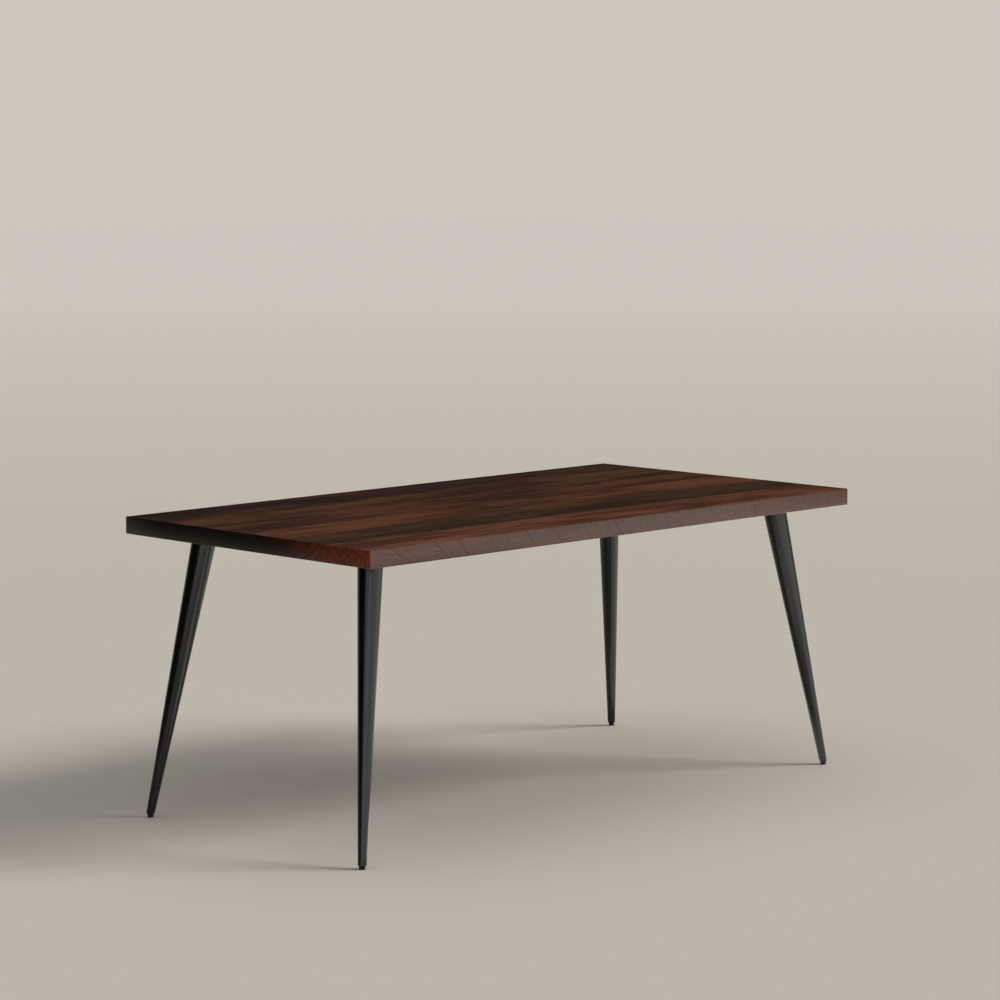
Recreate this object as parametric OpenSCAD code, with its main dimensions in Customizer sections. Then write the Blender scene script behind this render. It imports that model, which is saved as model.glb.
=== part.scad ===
// Dining table: a block of edge-glued planks on four splayed, round tapered steel legs.
// Each leg is bolted up through its own plate and stands on a screw-in levelling foot.
// Origin on the floor under the middle of the top. +X runs along the top, +Y across it, +Z up.
// Corners are named from the long side at -Y: front_left is (-X, -Y), rear_right is (+X, +Y).

/* [Top] */
// Length of the top along the grain
top_l = 1778; // [1500:1:2400]
// Width of the top across the planks
top_w = 914; // [800:1:1100]
// Thickness of the top
top_t = 44; // [36:1:60]
// Height of the top's upper face above the floor, feet screwed right in
table_h = 770; // [720:1:900]

/* [Legs] */
// From the middle of the top to a leg's axis, at the underside, along X
leg_top_x = 751; // [600:1:760]
// From the middle of the top to a leg's axis, at the underside, along Y
leg_top_y = 308.5; // [240:0.5:320]
// How far a leg's axis leans out along X by the time it meets the floor
splay_x = 115.4; // [60:0.1:130]
// How far a leg's axis leans out along Y by the time it meets the floor
splay_y = 91.7; // [60:0.1:110]
// Diameter of a leg at the underside of the top
leg_d_top = 63; // [54:0.5:76]
// Diameter of a leg where its axis meets the floor
leg_d_floor = 21; // [21:0.5:30]
// Thickness of the leg's steel wall
leg_wall = 2; // [1.5:0.1:2.5]
// Height of the leg's cut-off end above the floor
leg_end_z = 9.5; // [9.2:0.1:14]

/* [Mounting plates] */
// Side of the square steel plate welded on a leg's upper end
plate_side = 120; // [112:1:130]
// Thickness of the plate
plate_t = 5; // [4:0.5:8]
// Distance between neighbouring bolts in a plate
bolt_spacing = 92; // [90:1:98]
// Diameter of the bolt holes in a plate
plate_hole_d = 9; // [9:0.1:10]

/* [Bolts] */
// Shank diameter of a bolt
bolt_d = 8; // [7:0.5:8]
// Diameter of a bolt's domed head
bolt_head_d = 14; // [12:0.5:16]
// Height of a bolt's domed head
bolt_head_h = 4.4; // [4:0.1:6]
// Outer diameter of the threaded insert in the wood
insert_d = 12; // [11:0.5:14]
// Length of the threaded insert
insert_l = 22; // [20:1:24]

/* [Levelling feet] */
// Diameter of the foot pad
pad_d = 15.3; // [14:0.1:18]
// Height of the foot pad
pad_h = 9.2; // [8:0.1:9.2]
// Thread diameter of the levelling screw
stud_d = 6; // [5:0.5:6]
// Length of the levelling screw above its foot
stud_l = 30; // [26:1:34]

/* [Hidden] */

$fn = 64;
plank_n = 6;
plank_w = top_w / plank_n;
underside_z = table_h - top_t;
plate_z = underside_z - plate_t;

// Corner signs: which way a corner lies from the middle of the table
FRONT_LEFT = [-1, -1];
FRONT_RIGHT = [1, -1];
REAR_RIGHT = [1, 1];
REAR_LEFT = [-1, 1];

// A leg's lean, and the length of its axis from the floor to the underside
splay = norm([splay_x, splay_y]);
lean_angle = atan(splay / underside_z);
lean_heading = atan2(splay_y, splay_x);
axis_l = norm([splay, underside_z]);
// A leg's cone runs on past both cuts, and this is how far
overrun = 30;
taper = (leg_d_top - leg_d_floor) / 2 / axis_l;

// How far a cutting shape runs past the face that it cuts
cut = 1;

// Bolt stack, from the plate down
spring_washer_t = 2;
flat_washer_t = 1.6;
washer_d = 16;
spring_washer_d = 13.2;
spring_washer_slit = 1;
washer_hole_d = 8.4;
hex_key = 5;
hex_depth = 2.6;
insert_floor = 2;
bolt_end_gap = 0.6;
bolt_l = spring_washer_t + flat_washer_t + plate_t + insert_l - insert_floor - bolt_end_gap;
wood_clearance = 0.1;
wood_over_insert = 2;
plate_corner_r = 12;
thread_gap = 0.05;

// Levelling foot: it stands where the leg's axis crosses the level of the leg's cut-off end
foot_x = leg_top_x + splay_x * (1 - leg_end_z / underside_z);
foot_y = leg_top_y + splay_y * (1 - leg_end_z / underside_z);
plug_l = 30;
plug_gap = 0.05;
collar_d = 10;
collar_h = 3.4;
collar_z = 2.6;
key_hole_d = 5;
stud_hex = 3;
stud_hex_depth = 2.4;
pad_edge = 0.8;

// Puts what is drawn for the corner at (+X, +Y) into another corner
module at_corner(side) {
    mirror([side[0] < 0 ? 1 : 0, 0, 0])
        mirror([0, side[1] < 0 ? 1 : 0, 0])
            children();
}

// The four bolt places of the plate, round the leg's axis at the underside
module at_bolts() {
    for (x = [-1, 1], y = [-1, 1])
        translate([leg_top_x + x * bolt_spacing / 2, leg_top_y + y * bolt_spacing / 2, 0])
            children();
}

// A tapered round bar along the axis of the leg at (+X, +Y), inset from the leg's skin
module leaning_cone(inset) {
    r_floor = leg_d_floor / 2 - inset - taper * overrun;
    r_top = leg_d_top / 2 - inset + taper * overrun;
    translate([leg_top_x + splay_x, leg_top_y + splay_y, 0])
        rotate([0, 0, lean_heading])
            rotate([0, -lean_angle, 0])
                translate([0, 0, -overrun])
                    cylinder(h = axis_l + 2 * overrun, r1 = r_floor, r2 = r_top);
}

// Everything between two heights, round the leg at (+X, +Y)
module slab(z_low, z_high) {
    reach = 2 * plate_side;
    translate([leg_top_x - reach / 2, leg_top_y - reach / 2, z_low])
        cube([reach + splay_x, reach + splay_y, z_high - z_low]);
}

// Part of the tapered bar between two level cuts
module cut_cone(inset, z_low, z_high) {
    intersection() {
        leaning_cone(inset);
        slab(z_low, z_high);
    }
}

// One plank, full length, with the blind holes that take the threaded inserts
module plank(index) {
    y_low = -top_w / 2 + index * plank_w;
    color([0.28, 0.17, 0.12])
        difference() {
            translate([-top_l / 2, y_low, underside_z])
                cube([top_l, plank_w, top_t]);
            for (side = [FRONT_LEFT, FRONT_RIGHT, REAR_RIGHT, REAR_LEFT])
                at_corner(side)
                    at_bolts()
                        translate([0, 0, underside_z - cut])
                            cylinder(h = insert_l + wood_over_insert + cut,
                                     d = insert_d + 2 * wood_clearance);
        }
}

// Hollow tapered steel leg, cut level at both ends
module leg_tube(side) {
    color([0.04, 0.04, 0.045])
        at_corner(side)
            difference() {
                cut_cone(0, leg_end_z, plate_z);
                cut_cone(leg_wall, leg_end_z - cut, plate_z + cut);
            }
}

// Square plate welded across the leg's upper end
module mount_plate(side) {
    inner = plate_side - 2 * plate_corner_r;
    color([0.04, 0.04, 0.045])
        at_corner(side)
            difference() {
                union() {
                    for (turn = [0, 90])
                        translate([leg_top_x, leg_top_y, plate_z + plate_t / 2])
                            rotate([0, 0, turn])
                                cube([plate_side, inner, plate_t], center = true);
                    for (x = [-1, 1], y = [-1, 1])
                        translate([leg_top_x + x * inner / 2, leg_top_y + y * inner / 2, plate_z])
                            cylinder(h = plate_t, r = plate_corner_r);
                }
                at_bolts()
                    translate([0, 0, plate_z - cut])
                        cylinder(h = plate_t + 2 * cut, d = plate_hole_d);
            }
}

// Threaded steel inserts, blind at the top, screwed into the planks
module inserts(side) {
    color([0.72, 0.70, 0.62])
        at_corner(side)
            at_bolts()
                translate([0, 0, underside_z])
                    difference() {
                        cylinder(h = insert_l, d = insert_d);
                        translate([0, 0, -cut])
                            cylinder(h = insert_l - insert_floor + cut,
                                     d = bolt_d + 2 * thread_gap);
                    }
}

// Domed socket-head bolts, drawn without their threads
module bolts(side) {
    head_z = plate_z - flat_washer_t - spring_washer_t;
    dome_r = (pow(bolt_head_d / 2, 2) + pow(bolt_head_h, 2)) / (2 * bolt_head_h);
    color([0.10, 0.10, 0.11])
        at_corner(side)
            at_bolts()
                translate([0, 0, head_z])
                    difference() {
                        union() {
                            cylinder(h = bolt_l, d = bolt_d);
                            intersection() {
                                translate([0, 0, dome_r - bolt_head_h])
                                    sphere(r = dome_r);
                                translate([0, 0, -bolt_head_h])
                                    cylinder(h = bolt_head_h, d = bolt_head_d);
                            }
                        }
                        translate([0, 0, -bolt_head_h - cut])
                            cylinder(h = hex_depth + cut, d = hex_key / cos(30), $fn = 6);
                    }
}

// A plain ring lying on each bolt
module washer_ring(side, z_low, height, outer_d) {
    at_corner(side)
        at_bolts()
            translate([0, 0, z_low])
                difference() {
                    cylinder(h = height, d = outer_d);
                    translate([0, 0, -cut])
                        cylinder(h = height + 2 * cut, d = washer_hole_d);
                }
}

// Flat washers, against the plate
module flat_washers(side) {
    color([0.62, 0.63, 0.65])
        washer_ring(side, plate_z - flat_washer_t, flat_washer_t, washer_d);
}

// Split spring washers, between the flat washers and the bolt heads
module spring_washers(side) {
    z_low = plate_z - flat_washer_t - spring_washer_t;
    color([0.55, 0.56, 0.58])
        difference() {
            washer_ring(side, z_low, spring_washer_t, spring_washer_d);
            at_corner(side)
                at_bolts()
                    translate([bolt_d / 2, -spring_washer_slit / 2, z_low - cut])
                        cube([spring_washer_d, spring_washer_slit, spring_washer_t + 2 * cut]);
        }
}

// Solid steel plug in the leg's lower end, with an upright threaded hole
module foot_plug(side) {
    color([0.30, 0.30, 0.32])
        at_corner(side)
            difference() {
                cut_cone(leg_wall + plug_gap, leg_end_z, leg_end_z + plug_l);
                translate([foot_x, foot_y, leg_end_z - cut])
                    cylinder(h = plug_l + 2 * cut, d = stud_d + 2 * thread_gap);
            }
}

// Levelling screw, drawn without its thread, with a round foot and a hexagon socket
module levelling_screw(side) {
    color([0.60, 0.60, 0.62])
        at_corner(side)
            translate([foot_x, foot_y, collar_z])
                difference() {
                    union() {
                        cylinder(h = collar_h, d = collar_d);
                        cylinder(h = collar_h + stud_l, d = stud_d);
                    }
                    translate([0, 0, -cut])
                        cylinder(h = stud_hex_depth + cut, d = stud_hex / cos(30), $fn = 6);
                }
}

// Moulded pad snapped over the screw's foot, open below for the hexagon key
module foot_pad(side) {
    color([0.05, 0.05, 0.05])
        at_corner(side)
            translate([foot_x, foot_y, 0])
                difference() {
                    rotate_extrude()
                        polygon([[0, 0], [pad_d / 2 - pad_edge, 0], [pad_d / 2, pad_edge],
                                 [pad_d / 2, pad_h - pad_edge], [pad_d / 2 - pad_edge, pad_h],
                                 [0, pad_h]]);
                    translate([0, 0, collar_z - thread_gap])
                        cylinder(h = collar_h + 2 * thread_gap, d = collar_d + 2 * thread_gap);
                    translate([0, 0, -cut])
                        cylinder(h = collar_z + 2 * cut, d = key_hole_d);
                    translate([0, 0, collar_z])
                        cylinder(h = pad_h, d = stud_d + 2 * thread_gap);
                }
}

plank(0);  // plank_1
plank(1);  // plank_2
plank(2);  // plank_3
plank(3);  // plank_4
plank(4);  // plank_5
plank(5);  // plank_6
leg_tube(FRONT_LEFT);  // leg_tube_front_left
leg_tube(FRONT_RIGHT);  // leg_tube_front_right
leg_tube(REAR_RIGHT);  // leg_tube_rear_right
leg_tube(REAR_LEFT);  // leg_tube_rear_left
mount_plate(FRONT_LEFT);  // mount_plate_front_left
mount_plate(FRONT_RIGHT);  // mount_plate_front_right
mount_plate(REAR_RIGHT);  // mount_plate_rear_right
mount_plate(REAR_LEFT);  // mount_plate_rear_left
inserts(FRONT_LEFT);  // inserts_front_left
inserts(FRONT_RIGHT);  // inserts_front_right
inserts(REAR_RIGHT);  // inserts_rear_right
inserts(REAR_LEFT);  // inserts_rear_left
bolts(FRONT_LEFT);  // bolts_front_left
bolts(FRONT_RIGHT);  // bolts_front_right
bolts(REAR_RIGHT);  // bolts_rear_right
bolts(REAR_LEFT);  // bolts_rear_left
flat_washers(FRONT_LEFT);  // flat_washers_front_left
flat_washers(FRONT_RIGHT);  // flat_washers_front_right
flat_washers(REAR_RIGHT);  // flat_washers_rear_right
flat_washers(REAR_LEFT);  // flat_washers_rear_left
spring_washers(FRONT_LEFT);  // spring_washers_front_left
spring_washers(FRONT_RIGHT);  // spring_washers_front_right
spring_washers(REAR_RIGHT);  // spring_washers_rear_right
spring_washers(REAR_LEFT);  // spring_washers_rear_left
foot_plug(FRONT_LEFT);  // foot_plug_front_left
foot_plug(FRONT_RIGHT);  // foot_plug_front_right
foot_plug(REAR_RIGHT);  // foot_plug_rear_right
foot_plug(REAR_LEFT);  // foot_plug_rear_left
levelling_screw(FRONT_LEFT);  // levelling_screw_front_left
levelling_screw(FRONT_RIGHT);  // levelling_screw_front_right
levelling_screw(REAR_RIGHT);  // levelling_screw_rear_right
levelling_screw(REAR_LEFT);  // levelling_screw_rear_left
foot_pad(FRONT_LEFT);  // foot_pad_front_left
foot_pad(FRONT_RIGHT);  // foot_pad_front_right
foot_pad(REAR_RIGHT);  // foot_pad_rear_right
foot_pad(REAR_LEFT);  // foot_pad_rear_left
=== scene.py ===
# %% [markdown]
# # A butcher block dining table
# Six wide hardwood planks are glued edge to edge into one thick top. Four round, tapered steel
# legs are welded to plates, which are bolted up into the planks, and each leg stands on a
# screw-in levelling foot. The frame gives every place and size, so this script starts from it.

# %% Load the frame
import math
import bmesh
import bpy
from mathutils import Matrix, Vector


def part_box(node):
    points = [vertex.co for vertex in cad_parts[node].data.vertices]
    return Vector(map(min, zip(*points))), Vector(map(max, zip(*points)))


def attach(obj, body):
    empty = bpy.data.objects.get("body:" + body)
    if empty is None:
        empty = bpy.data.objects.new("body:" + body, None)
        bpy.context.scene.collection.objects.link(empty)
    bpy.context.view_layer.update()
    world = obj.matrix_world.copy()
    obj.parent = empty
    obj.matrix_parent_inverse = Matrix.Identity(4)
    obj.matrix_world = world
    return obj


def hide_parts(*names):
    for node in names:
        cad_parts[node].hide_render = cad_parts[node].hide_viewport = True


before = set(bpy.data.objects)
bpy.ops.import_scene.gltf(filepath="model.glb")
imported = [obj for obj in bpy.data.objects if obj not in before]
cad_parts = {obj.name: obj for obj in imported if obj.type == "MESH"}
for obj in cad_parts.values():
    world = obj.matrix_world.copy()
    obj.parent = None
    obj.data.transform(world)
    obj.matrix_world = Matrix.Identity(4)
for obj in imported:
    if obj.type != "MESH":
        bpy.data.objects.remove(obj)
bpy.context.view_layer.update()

CORNERS = ["front_left", "front_right", "rear_right", "rear_left"]
PLANKS = sorted(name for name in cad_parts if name.startswith("plank_"))

# %% [markdown]
# ## Units and colours
# Everything is in metres, but hardware is easier to read in millimetres, so sizes are written as a
# number times MM. Colours are given as sRGB hex values, and a renderer works with
# linear light, so one function turns the one into the other.

# %% Millimetres and linear colour
MM = 0.001


def linear(hex_colour, alpha=1.0):
    """An sRGB hex value as linear red, green, blue and alpha."""
    channels = [int(hex_colour[i:i + 2], 16) / 255 for i in (1, 3, 5)]
    return [c / 12.92 if c <= 0.04045 else ((c + 0.055) / 1.055) ** 2.4 for c in channels] + [alpha]


print("espresso stain is", [round(c, 3) for c in linear("#5b3e30")], "in linear light")

# %% [markdown]
# ## Camera
# The table is seen from a standing height, a little above one corner, with a long lens that keeps
# the two ends of the top nearly equal. The camera is tipped down gently and shifted a little, which
# keeps the legs close to upright in the picture, as an architectural photographer would have it.

# %% Camera
camera_data = bpy.data.cameras.new("standing_view")
camera = bpy.data.objects.new("standing_view", camera_data)
bpy.context.scene.collection.objects.link(camera)
CAMERA_PLACE = Vector((-5.762, -5.738, 1.749))
CAMERA_HEADING = math.radians(44.885)
CAMERA_TIP = math.radians(4.983)
camera_data.lens = 111.7
camera_data.sensor_width = 36
camera_data.shift_y = -0.10
camera.location = CAMERA_PLACE
camera.rotation_euler = (math.pi / 2 - CAMERA_TIP, 0, CAMERA_HEADING - math.pi / 2)
bpy.context.scene.camera = camera
print("camera looks", round(math.degrees(CAMERA_TIP), 1), "degrees down from", tuple(CAMERA_PLACE))

# %% [markdown]
# ## One function for every shader node
# A material here is a tree of nodes. Each line below adds one node, sets it up and plugs other nodes
# into it, so that a material reads from top to bottom as a recipe.

# %% Node helper
def add(tree, kind, inputs=None, **settings):
    """Adds a node. A setting is a property of the node, and an input is a value or a socket to link."""
    made = tree.nodes.new("ShaderNode" + kind)
    for name, value in settings.items():
        setattr(made, name, value)
    for socket, value in (inputs or {}).items():
        if isinstance(value, bpy.types.NodeSocket):
            tree.links.new(value, made.inputs[socket])
        else:
            made.inputs[socket].default_value = value
    return made


def new_material(name):
    """An empty material, and its tree with only the output node."""
    material = bpy.data.materials.new(name)
    material.use_nodes = True
    material.node_tree.nodes.clear()
    return material, material.node_tree


def ramp(tree, factor, stops):
    """A colour ramp with (position, hex colour) stops, and its colour socket."""
    made = add(tree, "ValToRGB", {"Fac": factor})
    elements = made.color_ramp.elements
    while len(elements) < len(stops):
        elements.new(0.5)
    for element, (position, colour) in zip(elements, stops):
        element.position = position
        element.color = linear(colour) if isinstance(colour, str) else (colour, colour, colour, 1)
    return made.outputs["Color"]


# %% [markdown]
# ## Stained hardwood
# The planks are a coarse, open-pored tropical hardwood under a dark walnut stain and a thin satin
# lacquer. Real wood is a solid pattern: growth rings round the pith, long fibres, and pores that
# show as dashes on the face and as dots on the end. So the pattern is a solid one in three
# dimensions and every cut face shows its own side of it. Each plank gets its own pith, its own
# slice of the pattern and its own tones, because each came from another board. All the noises are
# squeezed the same way: a number of metres long along the grain and millimetres across it.

# %% Grain patterns
# Real growth lines are 2 to 4 mm apart, fibres 0.1 mm wide and pores 0.2 mm wide. All three are drawn
# coarser here, because at their real size they would melt into one flat tone in a view of the table.
RING_GAP = 9 * MM
EDGE_LINE_GAP = 11 * MM
PATCH = (450 * MM, 90 * MM)
STREAK = (210 * MM, 24 * MM)
END_STREAK = (60 * MM, 9 * MM)
SWERVE = (900 * MM, 200 * MM)
RIPPLE = (160 * MM, 40 * MM)
RIPPLE_DEPTH = 25 * MM
FIBRE = (110 * MM, 3 * MM)
PORE = (14 * MM, 0.7 * MM)
LIGHT_LINE = (600 * MM, 7 * MM)


def grain_noise(tree, place, size, detail, roughness=0.5, shift=0.0):
    """Noise stretched along the grain. size is a feature's length and width."""
    along, across = 1 / size[0], 1 / size[1]
    squeezed = add(tree, "Mapping", {"Vector": place, "Location": (shift, shift, 0),
                                     "Scale": (along, across, across)}).outputs[0]
    return add(tree, "TexNoise", {"Vector": squeezed, "Scale": 1.0, "Detail": detail,
                                  "Roughness": roughness}).outputs


def blend(tree, factor, first, second, mode="MIX"):
    """The second colour over the first one, by a blend mode."""
    return add(tree, "MixRGB", {"Fac": factor, "Color1": first, "Color2": second},
               blend_type=mode).outputs[0]


def growth_lines(tree, place, flatten, gap):
    """Growth lines of uneven width: noise along the distance from the pith, with a small ripple."""
    flat = add(tree, "VectorMath", {0: place, 1: flatten}, operation="MULTIPLY").outputs[0]
    distance = add(tree, "VectorMath", {0: flat}, operation="LENGTH").outputs["Value"]
    ripple = grain_noise(tree, place, RIPPLE, 2.0)["Fac"]
    distance = add(tree, "Math", {0: ripple, 1: RIPPLE_DEPTH, 2: distance},
                   operation="MULTIPLY_ADD").outputs[0]
    count = add(tree, "Math", {0: distance, 1: gap}, operation="DIVIDE").outputs[0]
    return add(tree, "TexNoise", {"W": count, "Scale": 1.0, "Detail": 3.0, "Roughness": 0.6},
               noise_dimensions="1D").outputs["Fac"]


def facing_axis(tree, axis):
    """1 on the faces that look along an axis, either way, and 0 on the others."""
    normal = add(tree, "NewGeometry").outputs["Normal"]
    part = add(tree, "SeparateXYZ", {"Vector": normal}).outputs[axis]
    size = add(tree, "Math", {0: part}, operation="ABSOLUTE").outputs[0]
    return ramp(tree, size, [(0.6, 0.0), (0.8, 1.0)])


print("grain: growth lines about", RING_GAP / MM, "mm apart, pores", PORE[1] / MM, "mm wide")

# %% [markdown]
# ## The boards
# The recipe goes from the large to the small: patches and streaks of heartwood, growth rings,
# mineral lines, and last fibres and pores, which also give the roughness and the bump. The long
# edge and the end are other cuts through the same log, so each has its own lines and its own stain.
# End grain drinks the most stain, and the left end is painted darker and darker towards the back: painted
# shade.

# %% Stained hardwood
top_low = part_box(PLANKS[0])[0]
top_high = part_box(PLANKS[-1])[1]
EDGE_STAIN = "#59382e"
EDGE_ARC_CENTRE = (1.5, 0.0, 0.8)
# The left end's light and dark tones, at shares of the way from the front to the back, painted darker
# towards the back as painted shade
END_LIGHT_PAINTED_SHADE = [(0.0, "#a24c2b"), (0.18, "#803b24"), (0.36, "#351811"), (0.5, "#1b0e0c")]
END_DARK_PAINTED_SHADE = [(0.0, "#5a2616"), (0.18, "#401b10"), (0.36, "#180b08"), (0.5, "#0e0807")]
# The right end takes one tone throughout, the one at this share
EVEN_END = (0.27, 0.27, 0.27, 1.0)


def stained_hardwood(name, pith, slide, light, dark):
    """One plank's wood. pith is (y, z) in metres from the origin, slide shifts the pattern along X."""
    material, tree = new_material(name)
    place = add(tree, "TexCoord").outputs["Object"]
    moved = add(tree, "Mapping", {"Vector": place, "Location": (slide, -pith[0], -pith[1])}).outputs[0]

    # Slow swerves of the grain, sideways only
    swerve = grain_noise(tree, moved, SWERVE, 2.0)["Color"]
    swerve = add(tree, "VectorMath", {0: swerve, 1: (0.5, 0.5, 0.5)}, operation="SUBTRACT").outputs[0]
    swerve = add(tree, "VectorMath", {0: swerve, 1: (0.0, 0.06, 0.06)}, operation="MULTIPLY").outputs[0]
    bent = add(tree, "VectorMath", {0: moved, 1: swerve}, operation="ADD").outputs[0]

    # Patches and streaks of lighter and darker heartwood
    patch = grain_noise(tree, bent, PATCH, 2.0)["Fac"]
    streak = grain_noise(tree, bent, STREAK, 5.0, 0.68)["Fac"]
    mottle = add(tree, "Math", {0: patch, 1: streak}, operation="ADD").outputs[0]
    mottle = ramp(tree, add(tree, "Math", {0: mottle, 1: 0.5}, operation="MULTIPLY").outputs[0],
                  [(0.43, 0.0), (0.57, 1.0)])
    tone = blend(tree, mottle, linear(dark), linear(light))

    # Growth rings round the pith, which run out through the faces as lines
    rings = growth_lines(tree, bent, (0.0, 1.0, 1.0), RING_GAP)
    ring_shade = ramp(tree, rings, [(0.34, 0.62), (0.46, 1.0), (0.66, 1.16)])
    tone = blend(tree, 0.6, tone, ring_shade, "MULTIPLY")

    # Thin paler lines of mineral, a few to a plank
    line = ramp(tree, grain_noise(tree, bent, LIGHT_LINE, 2.0, shift=5.0)["Fac"], [(0.64, 0.0), (0.72, 0.5)])
    tone = blend(tree, line, tone, linear("#7d5844"))

    # The long edge is cut where the rings slant through it, and took a greyer stain
    on_edge = facing_axis(tree, "Y")
    arcs = add(tree, "Mapping", {"Vector": bent, "Location": EDGE_ARC_CENTRE}).outputs[0]
    arcs = growth_lines(tree, arcs, (1.0, 0.0, 1.0), EDGE_LINE_GAP)
    arc_shade = ramp(tree, arcs, [(0.32, 0.66), (0.45, 0.96), (0.68, 1.14)])
    edge_tone = blend(tree, 1.0, linear(EDGE_STAIN), arc_shade, "MULTIPLY")
    edge_tone = blend(tree, 0.5, edge_tone, ramp(tree, patch, [(0.35, 0.8), (0.65, 1.25)]), "MULTIPLY")
    tone = blend(tree, on_edge, tone, edge_tone)

    # End grain: dark rings on red-brown
    end_streak = grain_noise(tree, bent, END_STREAK, 4.0, 0.65)["Fac"]
    end_shade = add(tree, "Math", {0: rings, 1: 0.6, 2: end_streak}, operation="MULTIPLY_ADD").outputs[0]
    # Painted shade: the left end is painted darker from the front towards the back
    spot = add(tree, "SeparateXYZ", {"Vector": place}).outputs
    across = add(tree, "MapRange", {"Value": spot["Y"], "From Min": top_low.y,
                                    "From Max": top_high.y}).outputs[0]
    right_end = add(tree, "MapRange", {"Value": spot["X"], "From Min": -0.1, "From Max": 0.1}).outputs[0]
    across = blend(tree, right_end, across, EVEN_END)
    end_tone = blend(tree, ramp(tree, end_shade, [(0.64, 0.0), (0.98, 1.0)]), ramp(tree, across, END_LIGHT_PAINTED_SHADE),
                     ramp(tree, across, END_DARK_PAINTED_SHADE))
    tone = blend(tree, facing_axis(tree, "X"), tone, end_tone)

    # Long fibres, and open pores filled with stain
    fibre = grain_noise(tree, bent, FIBRE, 5.0, 0.62)["Fac"]
    tone = blend(tree, 0.8, tone, ramp(tree, fibre, [(0.30, 0.60), (0.50, 1.0), (0.70, 1.38)]), "MULTIPLY")
    pore = ramp(tree, grain_noise(tree, bent, PORE, 1.0)["Fac"], [(0.60, 0.0), (0.68, 1.0)])
    filled = add(tree, "Math", {0: pore, 1: 0.45}, operation="MULTIPLY").outputs[0]
    tone = blend(tree, filled, tone, linear("#1a0f0b"))

    # The stain is sanded thin on the eased edges
    rubbed = add(tree, "Attribute", attribute_name="arris").outputs["Fac"]
    rubbed = add(tree, "Math", {0: rubbed, 1: 0.35}, operation="MULTIPLY").outputs[0]
    colour = blend(tree, rubbed, tone, linear("#8a5a3f"))

    # Lacquer over open pores: a broken satin sheen
    roughness = add(tree, "MapRange", {"Value": fibre, "From Min": 0.3, "From Max": 0.7,
                                       "To Min": 0.37, "To Max": 0.28}).outputs[0]
    height = add(tree, "Math", {0: fibre, 1: 0.25}, operation="MULTIPLY").outputs[0]
    height = add(tree, "Math", {0: height, 1: pore}, operation="SUBTRACT").outputs[0]
    bump = add(tree, "Bump", {"Height": height, "Strength": 0.35, "Distance": 0.12 * MM}).outputs[0]
    shader = add(tree, "BsdfPrincipled", {"Base Color": colour, "Roughness": roughness, "IOR": 1.5,
                                          "Specular IOR Level": 0.42, "Normal": bump})
    add(tree, "OutputMaterial", {"Surface": shader.outputs[0]})
    return material


# One row a board: pith beside the plank, place along the log, and the face's light and dark tone
BOARDS = {
    "plank_1": ((-0.70, 0.44), 0.0, "#83523c", "#533325"),
    "plank_2": ((-0.58, 0.47), 1.7, "#5a4031", "#3b2921"),
    "plank_3": ((-0.30, 0.46), 3.1, "#794c35", "#482d22"),
    "plank_4": ((0.30, 0.50), 4.6, "#6a4233", "#3f2920"),
    "plank_5": ((0.45, 0.50), 6.3, "#6b4532", "#402a1f"),
    "plank_6": ((0.25, 0.52), 8.2, "#4f382b", "#32241e"),
}
wood = {name: stained_hardwood("stained_hardwood_" + name[-1], *board) for name, board in BOARDS.items()}
print("wood:", len(wood), "boards, rings", RING_GAP / MM, "mm apart")

# %% [markdown]
# ## Powder-coated steel
# The legs and plates are mild steel, blasted, dusted with a black polyester powder and baked. The
# powder melts into a skin with a faint orange peel and a satin gloss, and it wears through to
# a greyer, smoother edge where the leg's end is knocked by feet and brooms.

# %% Powder-coated steel
# Real orange peel is about 1 mm, and the powder's own grain 0.05 mm. Both are coarser here, to show.
PEEL_SIZE = 1.6 * MM
COAT_GRAIN = 0.35 * MM


def powder_coated_steel():
    """Satin black polyester powder coat with orange peel, dust-fine grain and rubbed edges."""
    material, tree = new_material("satin_black_powder_coat")
    place = add(tree, "TexCoord").outputs["Object"]
    peel = add(tree, "TexNoise", {"Vector": place, "Scale": 1 / PEEL_SIZE, "Detail": 2.0}).outputs["Fac"]
    grain = add(tree, "TexNoise", {"Vector": place, "Scale": 1 / COAT_GRAIN, "Detail": 1.0}).outputs["Fac"]
    cloud = add(tree, "TexNoise", {"Vector": place, "Scale": 9.0, "Detail": 3.0}).outputs["Fac"]
    colour = ramp(tree, cloud, [(0.35, "#0d0d0e"), (0.65, "#131314")])
    rubbed = add(tree, "Attribute", attribute_name="arris").outputs["Fac"]
    rubbed = add(tree, "Math", {0: rubbed, 1: 0.5}, operation="MULTIPLY").outputs[0]
    colour = add(tree, "MixRGB", {"Fac": rubbed, "Color1": colour, "Color2": linear("#3a3a3b")}).outputs[0]
    roughness = add(tree, "MapRange", {"Value": cloud, "From Min": 0.3, "From Max": 0.7,
                                       "To Min": 0.22, "To Max": 0.27}).outputs[0]
    height = add(tree, "Math", {0: grain, 1: 0.25}, operation="MULTIPLY").outputs[0]
    height = add(tree, "Math", {0: height, 1: peel}, operation="ADD").outputs[0]
    bump = add(tree, "Bump", {"Height": height, "Strength": 0.25, "Distance": 0.05 * MM}).outputs[0]
    shader = add(tree, "BsdfPrincipled", {"Base Color": colour, "Roughness": roughness, "IOR": 1.5,
                                          "Specular IOR Level": 0.45, "Normal": bump})
    add(tree, "OutputMaterial", {"Surface": shader.outputs[0]})
    return material


coat = powder_coated_steel()
print("powder coat: orange peel", PEEL_SIZE / MM, "mm")

# %% [markdown]
# ## Plated, oiled and moulded parts
# The hardware is small, but it has to be right when the table is looked at from below. Plated
# washers and screws are bare metal with a fine turned grain. Socket bolts are blackened and oiled.
# The foot pads are moulded nylon with the dull, slightly pebbled skin of a spark-eroded mould.

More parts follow.
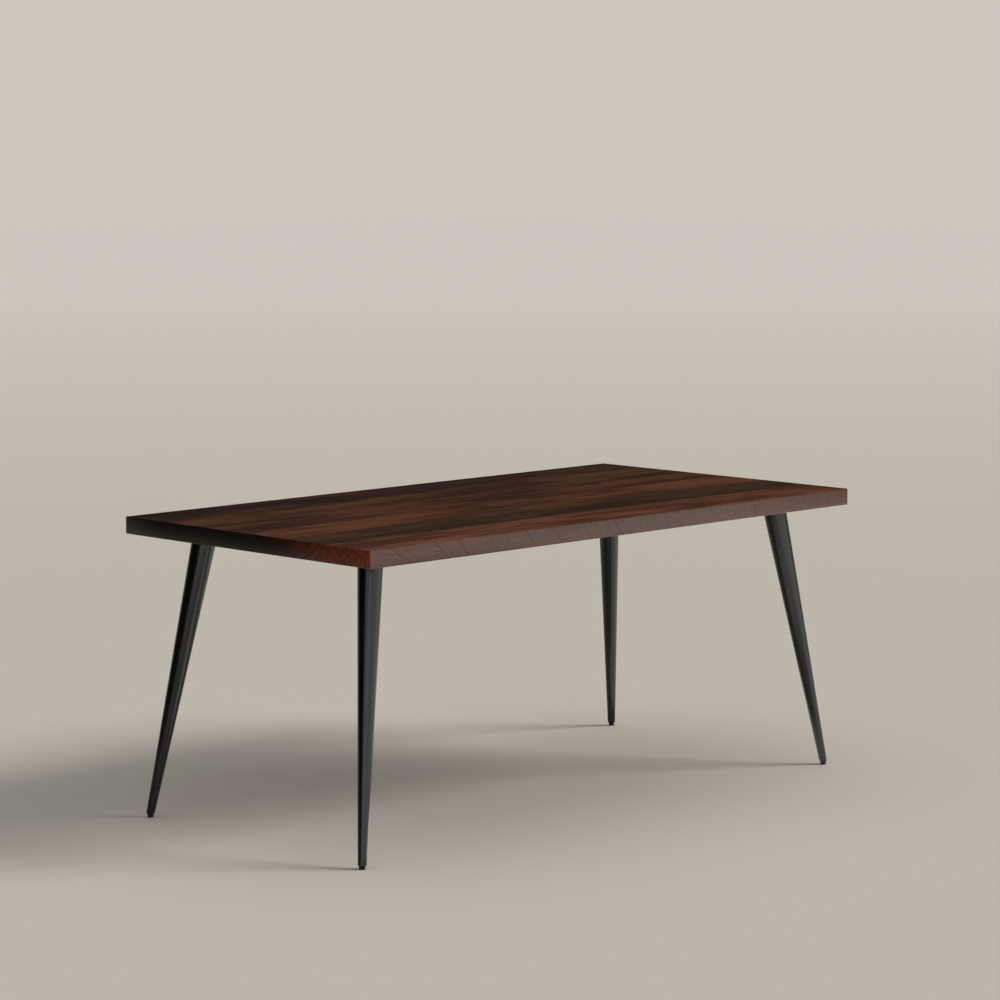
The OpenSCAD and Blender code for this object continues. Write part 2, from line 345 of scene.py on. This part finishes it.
# %% Hardware finishes
# A fine turned finish has marks 0.1 mm apart, and a mould's pebbles are 0.1 to 0.2 mm: drawn coarser
TURNING_GAP = 0.25 * MM
PEBBLE_SIZE = 0.6 * MM


def bare_metal(name, light, dark, rough_low, rough_high):
    """Plated or turned steel: metal colour in soft blotches, with a fine broken grain."""
    material, tree = new_material(name)
    place = add(tree, "TexCoord").outputs["Object"]
    blotch = add(tree, "TexNoise", {"Vector": place, "Scale": 1 / (4 * MM), "Detail": 3.0}).outputs["Fac"]
    grain = add(tree, "TexNoise", {"Vector": place, "Scale": 1 / TURNING_GAP, "Detail": 2.0}).outputs["Fac"]
    colour = ramp(tree, blotch, [(0.35, dark), (0.65, light)])
    roughness = add(tree, "MapRange", {"Value": grain, "From Min": 0.3, "From Max": 0.7,
                                       "To Min": rough_low, "To Max": rough_high}).outputs[0]
    bump = add(tree, "Bump", {"Height": grain, "Strength": 0.2, "Distance": 0.02 * MM}).outputs[0]
    shader = add(tree, "BsdfPrincipled", {"Base Color": colour, "Roughness": roughness,
                                          "Metallic": 1.0, "Normal": bump})
    add(tree, "OutputMaterial", {"Surface": shader.outputs[0]})
    return material


def oiled_black_oxide():
    """Hot-blackened steel under a film of oil: near black, with a low gloss and brownish blotches."""
    material, tree = new_material("oiled_black_oxide")
    place = add(tree, "TexCoord").outputs["Object"]
    blotch = add(tree, "TexNoise", {"Vector": place, "Scale": 1 / (3 * MM), "Detail": 4.0}).outputs["Fac"]
    colour = ramp(tree, blotch, [(0.35, "#121213"), (0.65, "#211f1d")])
    roughness = add(tree, "MapRange", {"Value": blotch, "To Min": 0.25, "To Max": 0.45}).outputs[0]
    bump = add(tree, "Bump", {"Height": blotch, "Strength": 0.1, "Distance": 0.05 * MM}).outputs[0]
    shader = add(tree, "BsdfPrincipled", {"Base Color": colour, "Roughness": roughness, "IOR": 1.5,
                                          "Normal": bump})
    add(tree, "OutputMaterial", {"Surface": shader.outputs[0]})
    return material


def moulded_nylon():
    """Black nylon from a spark-eroded mould: dull, faintly pebbled, paler where it scuffs."""
    material, tree = new_material("moulded_nylon")
    place = add(tree, "TexCoord").outputs["Object"]
    pebble = add(tree, "TexVoronoi", {"Vector": place, "Scale": 1 / PEBBLE_SIZE}).outputs["Distance"]
    scuff = add(tree, "TexNoise", {"Vector": place, "Scale": 1 / (5 * MM), "Detail": 4.0}).outputs["Fac"]
    colour = ramp(tree, scuff, [(0.45, "#0a0a0b"), (0.75, "#1b1b1c")])
    roughness = add(tree, "MapRange", {"Value": scuff, "To Min": 0.5, "To Max": 0.7}).outputs[0]
    bump = add(tree, "Bump", {"Height": pebble, "Strength": 0.3, "Distance": 0.05 * MM}).outputs[0]
    shader = add(tree, "BsdfPrincipled", {"Base Color": colour, "Roughness": roughness, "IOR": 1.53,
                                          "Specular IOR Level": 0.3, "Normal": bump})
    add(tree, "OutputMaterial", {"Surface": shader.outputs[0]})
    return material


zinc = bare_metal("bright_zinc_plating", "#c4c8cc", "#a9adb2", 0.22, 0.38)
yellow_zinc = bare_metal("yellow_zinc_plating", "#c9b070", "#a89a6a", 0.25, 0.42)
turned_steel = bare_metal("turned_plug_steel", "#8c8d90", "#737478", 0.32, 0.50)
oxide = oiled_black_oxide()
nylon = moulded_nylon()
print("hardware finishes:", [m.name for m in (zinc, yellow_zinc, turned_steel, oxide, nylon)])

# %% [markdown]
# ## From a bmesh to a finished piece
# Every new piece ends the same way. Its normals are made to point outwards, curved faces are shaded
# smooth and true corners stay sharp, and the small faces of its eased edges are marked, so that a
# material can show wear there. Then it rides on its body and stands for its CAD node.

# %% Finish a piece
SMOOTH_LIMIT = math.radians(32)


def finish_piece(shape, name, body, material, nodes=(), arris_faces=(), flat_faces=()):
    """Turns a bmesh into an object at the origin, riding on a body."""
    bmesh.ops.recalc_face_normals(shape, faces=shape.faces)
    arris = shape.faces.layers.float.new("arris")
    flat = set(flat_faces)
    for face in shape.faces:
        face.smooth = face not in flat
    for face in arris_faces:
        if face.is_valid:
            face[arris] = 1.0
    for edge in shape.edges:
        edge.smooth = len(edge.link_faces) == 2 and edge.calc_face_angle(0) < SMOOTH_LIMIT
    mesh = bpy.data.meshes.new(name)
    shape.to_mesh(mesh)
    shape.free()
    piece = bpy.data.objects.new(name, mesh)
    bpy.context.scene.collection.objects.link(piece)
    mesh.materials.append(material)
    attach(piece, body)
    if nodes:
        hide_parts(*nodes)
    return piece


def join(shape, other):
    """Adds a second bmesh to the first one, and frees the second."""
    mesh = bpy.data.meshes.new("part")
    other.to_mesh(mesh)
    other.free()
    shape.from_mesh(mesh)
    bpy.data.meshes.remove(mesh)


def middle(node):
    """The centre of a CAD node's box."""
    low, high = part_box(node)
    return (low + high) / 2


# %% [markdown]
# ## Where each leg stands
# A leg leans outwards along a straight axis. The plate sits over the axis at the top and the foot
# pad sits under it at the bottom, so those two nodes give the lean, and the leg's own box gives how
# thick it is at each end.

# %% Leg geometry from the frame
class Leg:
    """One leg's axis, lean and thickness, measured from its CAD nodes."""

    def __init__(self, corner):
        low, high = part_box("leg_tube_" + corner)
        plate_low, plate_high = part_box("mount_plate_" + corner)
        self.corner = corner
        self.top = middle("mount_plate_" + corner)
        self.top.z = plate_high.z
        self.foot = middle("foot_pad_" + corner)
        self.foot.z = low.z
        self.cut_low, self.cut_high = low.z, plate_low.z
        run = self.top - self.foot
        self.axis = run.normalized()
        self.lean = self.axis.angle(Vector((0, 0, 1)))
        self.heading = math.atan2(-run.y, -run.x)
        # A level cut through a leaning cone is longer along the lean
        stretch = math.hypot(math.cos(self.heading) / math.cos(self.lean), math.sin(self.heading))
        inner_x = min(abs(low.x), abs(high.x))
        outer_x = max(abs(low.x), abs(high.x))
        at_plate = self.at_height(self.cut_high)
        self.radius_high = (abs(at_plate.x) - inner_x) / stretch
        self.radius_low = (outer_x - abs(self.foot.x)) / stretch

    def at_height(self, z):
        """The point of the axis at a height."""
        return self.foot + self.axis * ((z - self.foot.z) / self.axis.z)

    def radius_at(self, z):
        """The cone's radius where its axis passes a height."""
        share = (z - self.cut_low) / (self.cut_high - self.cut_low)
        return self.radius_low + (self.radius_high - self.radius_low) * share


legs = [Leg(corner) for corner in CORNERS]
for leg in legs:
    print(leg.corner, "leans", round(math.degrees(leg.lean), 1), "degrees, radius",
          round(leg.radius_high / MM, 1), "to", round(leg.radius_low / MM, 1), "mm")

# %% [markdown]
# ## Planks
# A plank is a block with its outer edges eased by a sanding block, but not the two edges that are
# glued to its neighbours: those are sanded flush. So only the edges that lie on the outside of
# the whole top are bevelled. Blind holes for the threaded inserts are drilled from below, and the
# cleanest way to drill in a mesh is a Boolean with a set of cylinders.

# %% Planks
ARRIS = 1.3 * MM
INSERT_DIAMETER = 12 * MM
DRILL_SPARE = 0.1 * MM
DRILL_DEPTH = 24 * MM
DRILL_START = 2 * MM
insert_places = []
for corner in CORNERS:
    low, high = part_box("inserts_" + corner)
    inset = Vector((INSERT_DIAMETER / 2, INSERT_DIAMETER / 2, 0))
    near, far = low + inset, high - inset
    insert_places += [Vector((x, y, low.z)) for x in (near.x, far.x) for y in (near.y, far.y)]


def on_outside(edge):
    """True if an edge runs along the outside of the whole top, and not along a glue line."""
    middle_point = (edge.verts[0].co + edge.verts[1].co) / 2
    sides = [abs(middle_point.x - top_low.x) < ARRIS, abs(middle_point.x - top_high.x) < ARRIS,
             abs(middle_point.y - top_low.y) < ARRIS, abs(middle_point.y - top_high.y) < ARRIS]
    level = [abs(middle_point.z - top_low.z) < ARRIS, abs(middle_point.z - top_high.z) < ARRIS]
    return sum(sides) + sum(level) >= 2


def make_drill(name):
    """All the insert holes as one object of upright cylinders."""
    drill = bmesh.new()
    for place in insert_places:
        depth = DRILL_DEPTH + DRILL_START
        where = Matrix.Translation(place + Vector((0, 0, depth / 2 - DRILL_START)))
        radius = INSERT_DIAMETER / 2 + DRILL_SPARE
        bmesh.ops.create_cone(drill, cap_ends=True, segments=32, radius1=radius, radius2=radius,
                              depth=depth, matrix=where)
    mesh = bpy.data.meshes.new(name)
    drill.to_mesh(mesh)
    drill.free()
    tool = bpy.data.objects.new(name, mesh)
    bpy.context.scene.collection.objects.link(tool)
    return tool


def drilled(shape, drill):
    """The bmesh after a Boolean difference with the drill."""
    mesh = bpy.data.meshes.new("blank")
    shape.to_mesh(mesh)
    shape.free()
    blank = bpy.data.objects.new("blank", mesh)
    bpy.context.scene.collection.objects.link(blank)
    cut = blank.modifiers.new("drill", "BOOLEAN")
    cut.operation = "DIFFERENCE"
    cut.solver = "EXACT"
    cut.object = drill
    done = bmesh.new()
    done.from_object(blank, bpy.context.evaluated_depsgraph_get())
    bpy.data.objects.remove(blank)
    return done


drill = make_drill("insert_drill")
for name in PLANKS:
    low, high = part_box(name)
    plank = bmesh.new()
    bmesh.ops.create_cube(plank, size=1.0)
    bmesh.ops.scale(plank, vec=high - low, verts=plank.verts)
    bmesh.ops.translate(plank, vec=(low + high) / 2, verts=plank.verts)
    outer = [edge for edge in plank.edges if on_outside(edge)]
    bmesh.ops.bevel(plank, geom=outer, offset=ARRIS, offset_type="OFFSET", segments=3, profile=0.5,
                    affect="EDGES", material=-1)
    holes = sum(low.y < place.y < high.y for place in insert_places)
    if holes:
        plank = drilled(plank, drill)
    eased = [face for face in plank.faces if max(abs(c) for c in face.normal) < 0.999]
    flat = set(plank.faces) - set(eased)
    finish_piece(plank, "board_" + name[-1], "table", wood[name], [name], eased, flat)
    print(name, "with", len(outer), "eased edges and", holes, "blind holes")
bpy.data.objects.remove(drill)

# %% [markdown]
# ## Legs
# Each leg is a flat blank of steel rolled into a cone, welded along its seam, ground smooth and cut
# level at both ends. A cone primitive is turned onto the axis and two level planes cut it. The
# wall comes from a second, thinner cone inside the first, and bridging the rims closes the tube.

# %% Tapered tubes
WALL = 2 * MM
OVERRUN = 40 * MM
ROUND = 96
RIM_EASE = 0.5 * MM
# A ring of edges this near each end keeps the rim's roundness from shading the whole leg
HOLD = 2 * MM


def level_cut(shape, height, **settings):
    """Cuts every face along a level plane."""
    bmesh.ops.bisect_plane(shape, geom=[*shape.verts, *shape.edges, *shape.faces], dist=1e-7,
                           plane_co=(0, 0, height), **settings)


def cone_on_axis(leg, inset):
    """An open cone along a leg's axis, cut level at the leg's two ends."""
    low, high = leg.cut_low - OVERRUN, leg.cut_high + OVERRUN
    start, end = leg.at_height(low), leg.at_height(high)
    turn = leg.axis.to_track_quat("Z", "Y").to_matrix().to_4x4()
    cone = bmesh.new()
    bmesh.ops.create_cone(cone, cap_ends=False, segments=ROUND,
                          radius1=leg.radius_at(low) - inset, radius2=leg.radius_at(high) - inset,
                          depth=(end - start).length,
                          matrix=Matrix.Translation((start + end) / 2) @ turn)
    for height, keep in ((leg.cut_low, -1), (leg.cut_high, 1)):
        level_cut(cone, height, plane_no=(0, 0, keep), clear_outer=True)
    return cone


def rim_edges(shape, height):
    """The open edges that lie at a height."""
    return [edge for edge in shape.edges
            if edge.is_boundary and all(abs(vert.co.z - height) < 1e-6 for vert in edge.verts)]


for leg in legs:
    tube = cone_on_axis(leg, 0)
    join(tube, cone_on_axis(leg, WALL))
    for height in (leg.cut_low, leg.cut_high):
        bmesh.ops.bridge_loops(tube, edges=rim_edges(tube, height))
    rims = [edge for edge in tube.edges
            if all(abs(vert.co.z - leg.cut_low) < 1e-6 for vert in edge.verts)
            and edge.calc_face_angle(0) > SMOOTH_LIMIT]
    eased = bmesh.ops.bevel(tube, geom=rims, offset=RIM_EASE, offset_type="OFFSET", segments=2,
                            profile=0.5, affect="EDGES", material=-1)["faces"]
    for height in (leg.cut_low + HOLD, leg.cut_high - HOLD):
        level_cut(tube, height, plane_no=(0, 0, 1))
    finish_piece(tube, "tapered_leg_" + leg.corner, "table", coat,
                 ["leg_tube_" + leg.corner], eased)
print("legs:", len(legs), "tubes,", WALL / MM, "mm wall")

# %% [markdown]
# ## Weld beads
# A bead of weld runs round the top of each leg, where it meets the plate. It is a row of small
# overlapping pools, like a stack of coins. A small circle is spun round the joint, and each ring is
# swelled and pinched by a cosine, which gives the pools.

# %% Weld beads
BEAD_RADIUS = 3.2 * MM
POOLS = 54
RINGS_PER_POOL = 4
POOL_DEPTH = 0.14
for leg in legs:
    bead = bmesh.new()
    radius = leg.radius_at(leg.cut_high) + BEAD_RADIUS * 0.25
    turn = Matrix.Rotation(math.pi / 2, 4, "X")
    ring = bmesh.ops.create_circle(bead, segments=10, radius=BEAD_RADIUS,
                                   matrix=Matrix.Translation((radius, 0, 0)) @ turn)
    bmesh.ops.spin(bead, geom=[*bead.verts, *bead.edges], axis=(0, 0, 1), cent=(0, 0, 0),
                   angle=2 * math.pi, steps=POOLS * RINGS_PER_POOL, use_merge=True)
    for vert in bead.verts:
        angle = math.atan2(vert.co.y, vert.co.x)
        core = Vector((radius * math.cos(angle), radius * math.sin(angle), 0))
        vert.co = core + (vert.co - core) * (1 + POOL_DEPTH * math.cos(POOLS * angle))
    bmesh.ops.scale(bead, vec=(1 / math.cos(leg.lean), 1, 1), verts=bead.verts)
    place = leg.at_height(leg.cut_high)
    bmesh.ops.transform(bead, matrix=Matrix.Translation(place) @ Matrix.Rotation(leg.heading, 4, "Z"),
                        verts=bead.verts)
    level_cut(bead, leg.cut_high, plane_no=(0, 0, 1), clear_outer=True)
    bmesh.ops.bridge_loops(bead, edges=[edge for edge in bead.edges if edge.is_boundary])
    finish_piece(bead, "weld_bead_" + leg.corner, "table", coat)
print("weld beads:", POOLS, "pools round each leg")

# %% [markdown]
# ## Mounting plates
# The plates are laser-cut from 5 mm sheet, with four bolt holes and rounded corners. The holes make
# a flat face awkward to build by hand, but the CAD plate has them already. A copy of it is merged,
# its flat faces are dissolved into clean ones, and a Bevel modifier takes the burr off each edge.

# %% Mounting plates
DEBURR = 0.5 * MM


def merged_copy(node, dissolve=math.radians(1)):
    """A copy of a CAD node's mesh with its loose triangles joined and flat faces cleaned."""
    shape = bmesh.new()
    shape.from_mesh(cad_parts[node].data)
    bmesh.ops.remove_doubles(shape, verts=shape.verts, dist=1e-6)
    bmesh.ops.dissolve_limit(shape, angle_limit=dissolve, verts=shape.verts, edges=shape.edges)
    return shape


def deburred(piece, width, segments=2):
    """Adds the bevel that breaks a machined piece's sharp edges."""
    broken = piece.modifiers.new("deburr", "BEVEL")
    broken.width = width
    broken.segments = segments
    broken.limit_method = "ANGLE"
    broken.angle_limit = SMOOTH_LIMIT
    broken.harden_normals = True
    return piece


for corner in CORNERS:
    node = "mount_plate_" + corner
    plate = finish_piece(merged_copy(node), "plate_" + corner, "table", coat,
                         [node])
    deburred(plate, DEBURR)

# %% [markdown]
# ## Bolts, washers and inserts
# These CAD nodes have their true shape already: domed heads with hexagon sockets, flat washers,
# split spring washers and plain sleeves. They stay as they are and only get a better finish.

# %% Finishes for the small hardware
for prefix, material in (("bolts_", oxide), ("flat_washers_", zinc), ("spring_washers_", zinc),
                         ("inserts_", yellow_zinc), ("foot_plug_", turned_steel)):
    for corner in CORNERS:
        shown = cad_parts[prefix + corner]
        shown.data.materials.clear()
        shown.data.materials.append(material)
print("hardware: 16 bolts, 32 washers, 16 inserts and 4 plugs refinished")

# %% [markdown]
# ## Levelling screws
# The CAD screw is a plain bar, because a thread is only friction to the physics. Here it gets the
# real one. The core is a spun outline, the hexagon socket is a six-sided ring pushed in from
# below, and the thread is a small ridge spun upwards as it goes round, which is what spin's dvec
# does. It is right-handed at every corner, as a bought screw is, so nothing is mirrored.

# %% Levelling screws
PITCH = 1.0 * MM
STEPS_PER_TURN = 28
CORE_RADIUS = 2.42 * MM
CREST_RADIUS = 2.98 * MM
COLLAR_EASE = 0.4 * MM
HEX_ACROSS = 3 * MM
HEX_DEPTH = 2.4 * MM
COLLAR_HEIGHT = 3.4 * MM


def spun(outline, centre, steps):
    """A closed skin made by spinning an outline of (radius, height) points round an upright axis."""
    shape = bmesh.new()
    verts = [shape.verts.new((radius, 0, height)) for radius, height in outline]
    edges = [shape.edges.new(pair) for pair in zip(verts, verts[1:])]
    bmesh.ops.spin(shape, geom=[*verts, *edges], axis=(0, 0, 1), cent=(0, 0, 0),
                   angle=2 * math.pi, steps=steps, use_merge=True)
    bmesh.ops.remove_doubles(shape, verts=shape.verts, dist=1e-7)
    bmesh.ops.translate(shape, vec=centre, verts=shape.verts)
    return shape


def thread_ridge(centre, start, end):
    """A right-hand helical ridge from one height to another, closed at both ends."""
    shape = bmesh.new()
    turns = round((end - start) / PITCH)
    outline = [(CORE_RADIUS - 0.1 * MM, -0.45 * PITCH), (CREST_RADIUS, -0.08 * PITCH),
               (CREST_RADIUS, 0.08 * PITCH), (CORE_RADIUS - 0.1 * MM, 0.45 * PITCH)]
    verts = [shape.verts.new((radius, 0, start + height)) for radius, height in outline]
    first = shape.faces.new(verts)
    bmesh.ops.spin(shape, geom=[*verts, *first.edges, first], axis=(0, 0, 1), cent=(0, 0, 0),
                   angle=2 * math.pi * turns, steps=turns * STEPS_PER_TURN,
                   dvec=(0, 0, PITCH / STEPS_PER_TURN))
    bmesh.ops.translate(shape, vec=centre, verts=shape.verts)
    return shape


for leg in legs:
    low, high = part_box("levelling_screw_" + leg.corner)
    centre = Vector(((low.x + high.x) / 2, (low.y + high.y) / 2, 0))
    collar_radius = (high.x - low.x) / 2
    collar_top = low.z + COLLAR_HEIGHT
    screw = bmesh.new()
    socket_radius = HEX_ACROSS / 2 / math.cos(math.pi / 6)
    socket = bmesh.ops.create_circle(screw, segments=6, radius=socket_radius,
                                     matrix=Matrix.Translation((0, 0, low.z)))["verts"]
    rim = list({edge for vert in socket for edge in vert.link_edges})
    bmesh.ops.subdivide_edges(screw, edges=rim, cuts=7)
    rim = list(screw.edges)
    sunk = bmesh.ops.extrude_edge_only(screw, edges=rim)["geom"]
    sunk_edges = [item for item in sunk if isinstance(item, bmesh.types.BMEdge)]
    bmesh.ops.translate(screw, vec=(0, 0, HEX_DEPTH),
                        verts=[item for item in sunk if isinstance(item, bmesh.types.BMVert)])
    bmesh.ops.edgeloop_fill(screw, edges=[edge for edge in sunk_edges if edge.is_boundary])
    before = set(screw.edges)
    bmesh.ops.create_circle(screw, segments=48, radius=collar_radius - COLLAR_EASE,
                            matrix=Matrix.Translation((0, 0, low.z)))
    bmesh.ops.bridge_loops(screw, edges=rim + [edge for edge in screw.edges if edge not in before])
    bmesh.ops.translate(screw, vec=centre, verts=screw.verts)
    body = [(collar_radius - COLLAR_EASE, low.z), (collar_radius, low.z + COLLAR_EASE),
            (collar_radius, collar_top - COLLAR_EASE), (collar_radius - COLLAR_EASE, collar_top),
            (CORE_RADIUS, collar_top), (CORE_RADIUS, high.z - COLLAR_EASE),
            (CORE_RADIUS - COLLAR_EASE, high.z), (0, high.z)]
    join(screw, spun(body, centre, steps=48))
    bmesh.ops.remove_doubles(screw, verts=screw.verts, dist=1e-6)
    join(screw, thread_ridge(centre, collar_top + 0.6 * PITCH, high.z - 0.6 * PITCH))
    finish_piece(screw, "threaded_screw_" + leg.corner, "screw_" + leg.corner,
                 zinc, ["levelling_screw_" + leg.corner])
print("levelling screws: pitch", PITCH / MM, "mm")

# %% [markdown]
# ## Foot pads
# A foot pad is a moulded nylon disc that snaps over the screw's collar. Its outline is drawn once,
# the outer corners are rounded as a mould would round them, and the outline is spun.

# %% Foot pads
PAD_ROUND = 1.0 * MM
KEY_HOLE = 2.5 * MM
SOCKET_RADIUS = 5.05 * MM
SOCKET_SPAN = (2.55 * MM, 6.05 * MM)
NECK_RADIUS = 3.05 * MM
for leg in legs:
    low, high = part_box("foot_pad_" + leg.corner)
    centre = Vector(((low.x + high.x) / 2, (low.y + high.y) / 2, low.z))
    radius, height = (high.x - low.x) / 2, high.z - low.z
    pad = bmesh.new()
    outline = [(KEY_HOLE, 0), (radius, 0), (radius, height), (NECK_RADIUS, height),
               (NECK_RADIUS, SOCKET_SPAN[1]), (SOCKET_RADIUS, SOCKET_SPAN[1]),
               (SOCKET_RADIUS, SOCKET_SPAN[0]), (KEY_HOLE, SOCKET_SPAN[0])]
    verts = [pad.verts.new((r, 0, z)) for r, z in outline]
    for pair in zip(verts, verts[1:] + verts[:1]):
        pad.edges.new(pair)
    bmesh.ops.bevel(pad, geom=verts[1:3], offset=PAD_ROUND, offset_type="OFFSET", segments=4,
                    profile=0.5, affect="VERTICES", material=-1)
    bmesh.ops.spin(pad, geom=[*pad.verts, *pad.edges], axis=(0, 0, 1), cent=(0, 0, 0),
                   angle=2 * math.pi, steps=64, use_merge=True)
    bmesh.ops.translate(pad, vec=centre, verts=pad.verts)
    finish_piece(pad, "nylon_foot_" + leg.corner, "foot_" + leg.corner, nylon,
                 ["foot_pad_" + leg.corner])
print("foot pads:", round(2 * radius / MM, 1), "mm across,", round(height / MM, 1), "mm high")

# %% [markdown]
# ## Studio
# The table stands alone on a wide, pale floor that melts into the background. A distant soft key
# shines from the right, and a ceiling that glows overhead, but not near the horizon, fills in without
# greying the top. What makes black legs look round is what they mirror: two softboxes, at the right
# and in front, two cards lying low, and a black flag at the left, which keeps each leg's left side
# dark. These five only show in reflections, so they draw no edges on the floor, and the key only
# lights, so it lays no glare on the top.

# %% Studio
FLOOR_SIZE = 80.0
FLOOR_NEAR = "#dcd7cf"
FLOOR_FAR = "#efebe7"
BACKGROUND = "#cdc7be"
FLAG_SIZE = (2.2, 5.4)
FLAG_PLACE = (-2.7, 2.1, 1.1)
CEILING_GLOW = 0.75
HORIZON_GLOW = 0.005
CEILING_EDGE = (0.62, 0.82)


def plain_floor():
    """A matt, pale floor, paler still far from the table, so that it melts into the background."""
    material, tree = new_material("painted_studio_floor")
    place = add(tree, "TexCoord").outputs["Object"]
    distance = add(tree, "VectorMath", {0: place}, operation="LENGTH").outputs["Value"]
    far = add(tree, "MapRange", {"Value": distance, "From Min": 4.0, "From Max": 25.0}).outputs[0]
    colour = ramp(tree, far, [(0.0, FLOOR_NEAR), (1.0, FLOOR_FAR)])
    shader = add(tree, "BsdfPrincipled", {"Base Color": colour, "Roughness": 0.8,
                                          "Specular IOR Level": 0.0})
    add(tree, "OutputMaterial", {"Surface": shader.outputs[0]})
    return material


def matt_black():
    """The black cloth of a studio flag."""
    material, tree = new_material("black_flag_cloth")
    shader = add(tree, "BsdfPrincipled", {"Base Color": linear("#0a0a0a"), "Roughness": 0.9,
                                          "Specular IOR Level": 0.1})
    add(tree, "OutputMaterial", {"Surface": shader.outputs[0]})
    return material


def stage_plane(name, size, matrix, material):
    """A flat rectangle that belongs to the studio and not to the table."""
    shape = bmesh.new()
    bmesh.ops.create_grid(shape, x_segments=1, y_segments=1, size=0.5)
    bmesh.ops.scale(shape, vec=(*size, 1), verts=shape.verts)
    bmesh.ops.transform(shape, matrix=matrix, verts=shape.verts)
    mesh = bpy.data.meshes.new(name)
    shape.to_mesh(mesh)
    shape.free()
    mesh.materials.append(material)
    plane = bpy.data.objects.new(name, mesh)
    bpy.context.scene.collection.objects.link(plane)
    return plane


stage_plane("studio_floor", (FLOOR_SIZE, FLOOR_SIZE), Matrix(), plain_floor())
flag_turn = Matrix.Rotation(math.pi / 2, 4, "Y")
flag = stage_plane("black_flag", FLAG_SIZE, Matrix.Translation(FLAG_PLACE) @ flag_turn, matt_black())
flag.visible_camera = False
flag.visible_diffuse = False
flag.visible_shadow = False


def softbox(name, place, aim, size, power):
    """A rectangular light that only shows in reflections, so it leaves no edge on the floor."""
    data = bpy.data.lights.new(name, "AREA")
    data.shape = "RECTANGLE"
    data.size, data.size_y = size
    data.energy = power
    lamp = bpy.data.objects.new(name, data)
    lamp.location = place
    lamp.rotation_euler = (Vector(aim) - Vector(place)).to_track_quat("-Z", "Y").to_euler()
    lamp.visible_camera = False
    lamp.visible_diffuse = False
    bpy.context.scene.collection.objects.link(lamp)
    return lamp


# One row a light: its place, the point it faces, its width and height, and its power in watts
REFLECTED = {
    "right_softbox": ((0.7, -2.7, 0.96), (0.7, 0.0, 0.96), (7.4, 1.88), 54),
    "camera_softbox": ((-4.35, -2.4, 0.96), (-1.95, 0.1, 0.96), (3.5, 1.88), 27),
    "low_right_card": ((2.05, -1.2, 0.004), (2.05, -1.2, 1.0), (2.9, 3.0), 23),
    "low_left_card": ((-0.45, -1.35, 0.004), (-0.45, -1.35, 1.0), (0.6, 2.5), 5),
}
for name, row in REFLECTED.items():
    softbox(name, *row)


KEY_SHINES = Vector((-0.58, 0.58, -0.57))
KEY_STRENGTH = 1.9
KEY_SPREAD = math.radians(24)
key_data = bpy.data.lights.new("distant_key", "SUN")
key_data.energy = KEY_STRENGTH
key_data.angle = KEY_SPREAD
key_data.color = linear("#fffaf3")[:3]
key = bpy.data.objects.new("distant_key", key_data)
key.rotation_euler = KEY_SHINES.to_track_quat("-Z", "Y").to_euler()
key.visible_glossy = False
bpy.context.scene.collection.objects.link(key)

world = bpy.data.worlds.new("studio_room")
world.use_nodes = True
tree = world.node_tree
tree.nodes.clear()
height = add(tree, "SeparateXYZ", {"Vector": add(tree, "TexCoord").outputs["Generated"]}).outputs["Z"]
glow = add(tree, "MapRange", {"Value": height, "From Min": CEILING_EDGE[0], "From Max": CEILING_EDGE[1],
                              "To Min": HORIZON_GLOW, "To Max": CEILING_GLOW},
           interpolation_type="SMOOTHSTEP").outputs[0]
ceiling = add(tree, "Background", {"Color": linear("#fffcf6"), "Strength": glow}).outputs[0]
seen = add(tree, "Background", {"Color": linear(BACKGROUND), "Strength": 1.0}).outputs[0]
from_camera = add(tree, "LightPath").outputs["Is Camera Ray"]
mixed = add(tree, "MixShader", {"Fac": from_camera, 1: ceiling, 2: seen}).outputs[0]
add(tree, "OutputWorld", {"Surface": mixed})
bpy.context.scene.world = world
bpy.context.scene.view_settings.view_transform = "Standard"
print("studio: a glowing ceiling and", len(bpy.data.lights), "lights")
